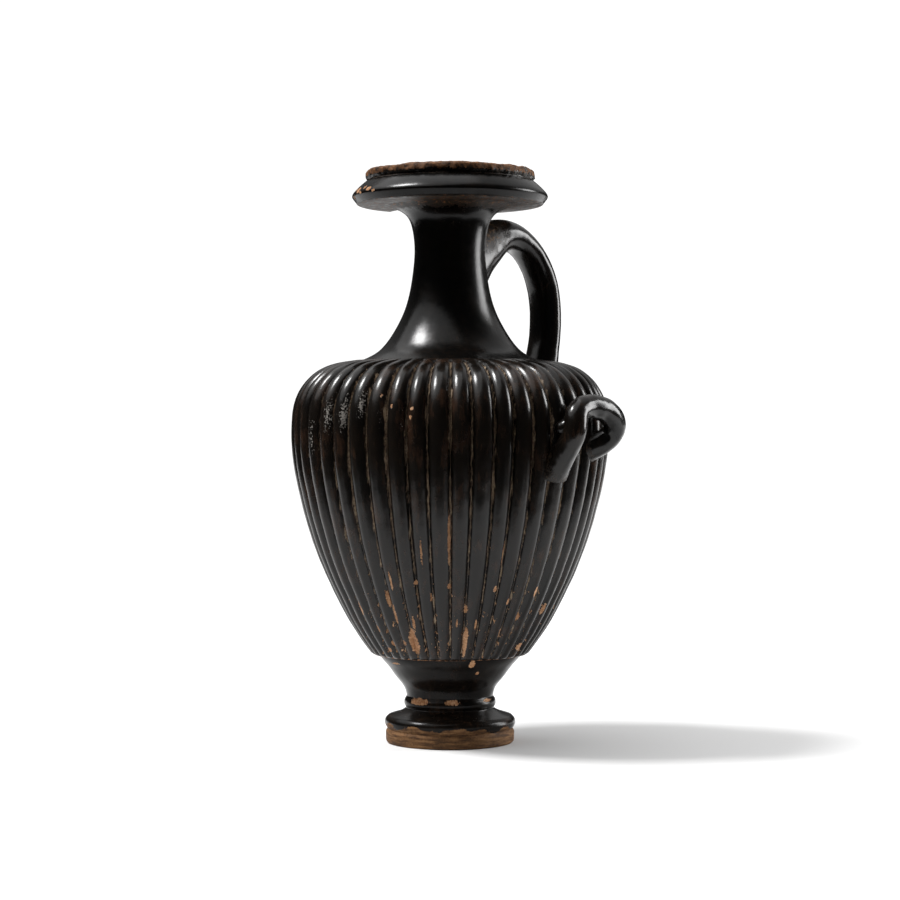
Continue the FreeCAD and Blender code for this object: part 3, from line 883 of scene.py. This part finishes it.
@dataclass(frozen=True)
class Roll:
    """A roll of clay along a smooth path, with an oval section that swells at its roots.

    across is the direction of the section's width, and sizes are half widths and half
    thicknesses in millimetres at the first root, in the middle and at the last root. Each root
    spreads over the given share of the path, as the square of what is left of it.
    """

    path: tuple[tuple[float, float, float], ...]
    across: tuple[float, float, float]
    wide: tuple[float, float, float]
    thick: tuple[float, float, float]
    first_share: float
    last_share: float
    rings: int
    corners: int = 44
    lumps: float = 0.035

    def points(self, seed: int) -> np.ndarray:
        """Carries the section along the path.

        A point is the path's point plus the width times the cosine of its turn across, plus the
        thickness times the sine of its turn upwards, with a little unevenness.

        Args:
            seed: The seed of the roll's unevenness.

        Returns:
            An array of rings by corners points.
        """
        path = smooth_through(self.path, self.rings)
        share = np.linspace(0, 1, self.rings)
        along = np.gradient(path, axis=0)
        along /= np.linalg.norm(along, axis=1, keepdims=True)
        across = np.asarray(self.across, dtype=float)
        across = across - along * (along @ across)[:, None]
        across /= np.linalg.norm(across, axis=1, keepdims=True)
        up = np.cross(along, across)
        near = np.maximum(0.0, 1 - share / self.first_share) ** 2
        far = np.maximum(0.0, 1 - (1 - share) / self.last_share) ** 2
        wide, thick = (
            middle + (first - middle) * near + (last - middle) * far
            for first, middle, last in (self.wide, self.thick)
        )
        turn = np.linspace(0, 2 * math.pi, self.corners, endpoint=False)
        side = across[:, None, :] * (wide[:, None] * np.cos(turn)[None, :])[..., None]
        rise = up[:, None, :] * (thick[:, None] * np.sin(turn)[None, :])[..., None]
        place = path[:, None, :] + side + rise
        lumps = (Waver(7.0, self.lumps, seed), Waver(2.2, self.lumps * 0.3, seed + 1))
        scale = 1 + wavering(place, lumps)
        return path[:, None, :] + (side + rise) * scale[..., None]


@dataclass(frozen=True)
class SideHandle:
    """A loop handle on the belly: a roll of clay that stands up close to the ribs.

    The first one lies on +X, and a mirrored one is its image in the upright plane that holds
    the jar's axis and the back handle.
    """

    name: str
    mirrored: bool = False
    mirror_angle: float = 81.0
    path: tuple[tuple[float, float, float], ...] = (
        (37.6, -8.4, 71.0), (41.0, -9.0, 75.6), (43.9, -9.5, 79.2), (45.5, -9.8, 82.4),
        (45.3, -8.8, 86.0), (45.2, -4.6, 87.8), (46.1, 1.0, 87.4), (46.3, 5.7, 85.3),
        (45.5, 8.1, 82.4), (43.8, 8.0, 80.1), (42.0, 6.6, 78.5), (38.9, 5.2, 76.8),
    )
    pellet: tuple[tuple[float, float, float], ...] = (
        (39.8, -9.8, 82.0), (41.3, -9.5, 82.5), (43.0, -9.2, 83.2), (44.6, -9.0, 84.0),
    )

    def placed(self, points: np.ndarray) -> np.ndarray:
        """Mirrors points for the other side: the angle round the axis turns to twice the
        mirror's angle less itself."""
        if not self.mirrored:
            return points
        inwards, sideways = faced(points, 2 * self.mirror_angle)
        return np.stack((inwards, -sideways, points[..., 2]), axis=-1)

    def shell(
        self, name: str, roll: Roll, seed: int, finish: bpy.types.Material
    ) -> bpy.types.Object:
        """Builds one roll of the handle, soiled where it comes close to the belly.

        Args:
            name: The object's name.
            roll: The roll.
            seed: The seed of its unevenness.
            finish: Its material.

        Returns:
            The object.
        """
        points = roll.points(seed)
        reach = np.hypot(points[..., 0], points[..., 1])
        soil = ramp(-reach, -44.0, -41.5) * 0.62
        return Shell(name, self.placed(points), finish, {Mark.SOIL: soil}).build()

    def build(self, finish: bpy.types.Material) -> list[bpy.types.Object]:
        """Builds the loop from root to root, and the pellet of clay beside its near root.

        Args:
            finish: The material of the handle.

        Returns:
            The loop and, on the side that the photograph shows, the pellet.
        """
        loop = Roll(
            self.path, across=(1.0, 0.0, -0.5), wide=(3.6, 2.9, 3.3), thick=(5.0, 3.05, 3.9),
            first_share=0.3, last_share=0.2, rings=160,
        )
        pieces = [self.shell(self.name, loop, 21, finish)]
        if not self.mirrored:
            pellet = Roll(
                self.pellet, across=(0.0, 0.0, 1.0), wide=(1.0, 1.9, 1.2), thick=(1.0, 2.0, 1.2),
                first_share=0.35, last_share=0.5, rings=48,
            )
            pieces.append(self.shell(self.name + "_pellet", pellet, 27, finish))
        return pieces


@dataclass(frozen=True)
class BackHandle:
    """The upright handle: an oval strap from the neck, over a bend, down to the shoulder."""

    angle: float = 81.0
    course: tuple[tuple[float, float], ...] = (
        (4.6, 124.6), (12.4, 130.2), (19.5, 133.4), (29.8, 129.4), (35.9, 119.0), (36.6, 108.5),
        (33.0, 91.6),
    )

    def build(self, finish: bpy.types.Material) -> bpy.types.Object:
        """Builds the strap from the neck to the shoulder.

        Args:
            finish: The material of the handle.

        Returns:
            The handle.
        """
        turn = math.radians(self.angle)
        roll = Roll(
            path=tuple((r * math.cos(turn), r * math.sin(turn), z) for r, z in self.course),
            across=(-math.sin(turn), math.cos(turn), 0.0),
            wide=(5.2, 4.9, 5.4), thick=(9.4, 3.4, 6.2), first_share=0.44, last_share=0.25,
            rings=220, corners=56, lumps=0.014,
        )
        points = roll.points(31)
        reach = np.hypot(points[..., 0], points[..., 1])
        upper = ramp(points[..., 2], 124.0, 132.0) * ramp(-reach, -23.0, -12.0)
        marks = {Mark.SOIL: upper * 0.85, Mark.BARE: upper * 0.72 - 0.3}
        return Shell("back_handle", points, finish, marks).build()


def way(turn: float, rise: float) -> Vector:
    """The direction that lies turn degrees to the right of the camera and rise degrees up."""
    angle, climb = math.radians(FRONT + turn), math.radians(rise)
    level = math.cos(climb)
    return Vector((math.cos(angle) * level, math.sin(angle) * level, math.sin(climb)))


@dataclass(frozen=True)
class Light:
    """A soft light, turn degrees to the right of the camera and rise degrees above the floor."""

    name: str
    turn: float
    rise: float
    strength: float

    def place(self, light: bpy.types.Light, spot: Vector) -> None:
        """Puts a light at a spot, facing the jar."""
        lamp = bpy.data.objects.new(self.name, light)
        lamp.location = spot
        lamp.rotation_euler = way(self.turn, self.rise).to_track_quat("Z", "Y").to_euler()
        bpy.context.scene.collection.objects.link(lamp)


@dataclass(frozen=True)
class Sun(Light):
    """A far round softbox that lights the jar and the whole floor alike.

    Its strength is how it lights a face turned to it, and spread is how wide it looks from the
    jar, in degrees.
    """

    spread: float

    def hang(self) -> None:
        """Makes the light."""
        light = bpy.data.lights.new(self.name, "SUN")
        light.angle = math.radians(self.spread)
        light.energy = self.strength
        self.place(light, Vector())


@dataclass(frozen=True)
class SoftBox(Light):
    """A near oblong softbox. Its strength is how bright its face is.

    far is its distance from the jar's middle, and wide and tall its size, in metres.
    """

    far: float
    wide: float
    tall: float
    middle: float = 0.08

    def hang(self) -> None:
        """Makes the light."""
        light = bpy.data.lights.new(self.name, "AREA")
        light.shape = "RECTANGLE"
        light.size, light.size_y = self.wide, self.tall
        light.energy = self.strength * math.pi * self.wide * self.tall
        self.place(light, Vector((0.0, 0.0, self.middle)) + way(self.turn, self.rise) * self.far)


@dataclass(frozen=True)
class Studio:
    """The plain pale floor, the soft lights and the camera at the photograph's angle."""

    view: tuple[float, float, float] = (374.4, -515.4, 88.5)
    target: tuple[float, float, float] = (0.0, 0.0, 76.5)
    lens: float = 97.3
    sensor: float = 36.0
    floor_near: float = 0.14
    floor_far: float = 0.9
    floor_grey: float = 0.68
    room_dark: float = 0.03
    room_light: float = 0.3
    backdrop: float = 1.1
    lights: tuple[Light, ...] = (
        Sun("key", -90.0, 57.0, 3.9, spread=16.0),
        Sun("wash", -90.0, 66.0, 1.8, spread=80.0),
        Sun("back", 160.0, 50.0, 0.4, spread=70.0),
        SoftBox("right", 104.0, 14.0, 13.0, far=0.8, wide=0.3, tall=0.55),
    )

    def floor(self) -> None:
        """Lays a pale floor under the jar, level with its foot and wider behind it."""
        mesh = bpy.data.meshes.new("floor")
        ahead, aside = way(0.0, 0.0), way(90.0, 0.0)
        near, far = self.floor_near, self.floor_far
        corners = [(ahead - aside) * near, (ahead + aside) * near,
                   (aside - ahead) * far, (-aside - ahead) * far]
        mesh.from_pydata(corners, [], [(0, 1, 2, 3)])
        floor = bpy.data.objects.new("floor", mesh)
        bpy.context.scene.collection.objects.link(floor)
        board = Board(bpy.data.materials.new("pale_floor"))
        sockets = {"Base Color": (*[self.floor_grey] * 3, 1.0), "Roughness": 0.9,
                   "Specular IOR Level": 0.0}
        shader = board.node("ShaderNodeBsdfPrincipled", {}, sockets)
        board.node("ShaderNodeOutputMaterial", {}, {"Surface": shader.outputs[0]})
        mesh.materials.append(board.owner)

    def surroundings(self) -> None:
        """Fills the room with dim light that grows up and away behind the jar, and shows the
        camera a white backdrop. The dim light is eased over a direction's dot product with an
        axis that leans back."""
        world = bpy.data.worlds.new("studio")
        bpy.context.scene.world = world
        board = Board(world)
        back = way(180.0, 0.0) * 0.5
        direction = board.node("ShaderNodeTexCoord", {}, {}).outputs["Generated"]
        behind = board.node("ShaderNodeVectorMath", {"operation": "DOT_PRODUCT"},
                            {0: direction, 1: (back.x, back.y, 0.9)})
        glow = Signal(board, behind.outputs["Value"])
        glow = glow.eased(0.55, 1.0, self.room_dark, self.room_light)
        seen = board.node("ShaderNodeLightPath", {}, {}).outputs["Is Camera Ray"]
        strength = board.node("ShaderNodeMix", {}, {"Factor": seen, "A": glow, "B": self.backdrop})
        sockets = {"Color": (1.0, 1.0, 1.0, 1.0), "Strength": strength.outputs[0]}
        background = board.node("ShaderNodeBackground", {}, sockets)
        board.node("ShaderNodeOutputWorld", {}, {"Surface": background.outputs[0]})

    def camera(self) -> None:
        """Stands the camera where the photograph was taken from."""
        data = bpy.data.cameras.new("camera")
        data.lens = self.lens
        data.sensor_width = self.sensor
        data.clip_start = 0.01
        camera = bpy.data.objects.new("camera", data)
        place = Vector(self.view) * MM
        camera.location = place
        backwards = place - Vector(self.target) * MM
        camera.rotation_euler = backwards.to_track_quat("Z", "Y").to_euler()
        bpy.context.scene.collection.objects.link(camera)
        bpy.context.scene.camera = camera

    def build(self) -> None:
        """Sets the whole studio up."""
        self.camera()
        self.floor()
        self.surroundings()
        for light in self.lights:
            light.hang()
        bpy.context.scene.view_settings.view_transform = "Standard"


def main() -> None:
    """Builds the studio and the jar, piece by piece."""
    Studio().build()
    belly_glaze = WornGlaze("black_glaze_belly", shine=0.24, brown=0.48).material()
    neck_glaze = WornGlaze(
        "black_glaze_neck", shine=0.22, brown=0.05, bare_light=(0.21, 0.095, 0.038),
        bare_middle=(0.11, 0.048, 0.019), ior=1.28,
    ).material()
    foot_glaze = WornGlaze(
        "black_glaze_foot", shine=0.22, brown=0.36, bare_light=(0.2, 0.105, 0.046),
        bare_middle=(0.105, 0.052, 0.022), bare_dark=(0.05, 0.026, 0.013), bare_grain=0.22,
        bare_squash=7.0, bare_relief=0.8, ior=1.22,
    ).material()
    handle_glaze = WornGlaze(
        "black_glaze_handles", shine=0.21, brown=0.3, bare_light=(0.15, 0.085, 0.04),
        bare_middle=(0.07, 0.04, 0.02),
    ).material()
    pieces = [
        Foot().build(foot_glaze),
        Belly().build(belly_glaze),
        Neck().build(neck_glaze),
        *SideHandle("side_handle").build(handle_glaze),
        *SideHandle("other_side_handle", mirrored=True).build(handle_glaze),
        BackHandle().build(handle_glaze),
    ]
    for piece in pieces:
        log.info("%s: %d faces", piece.name, len(piece.data.polygons))


if __name__ == "__main__":
    logging.basicConfig(level=logging.INFO, format="%(name)s: %(message)s")
    main()
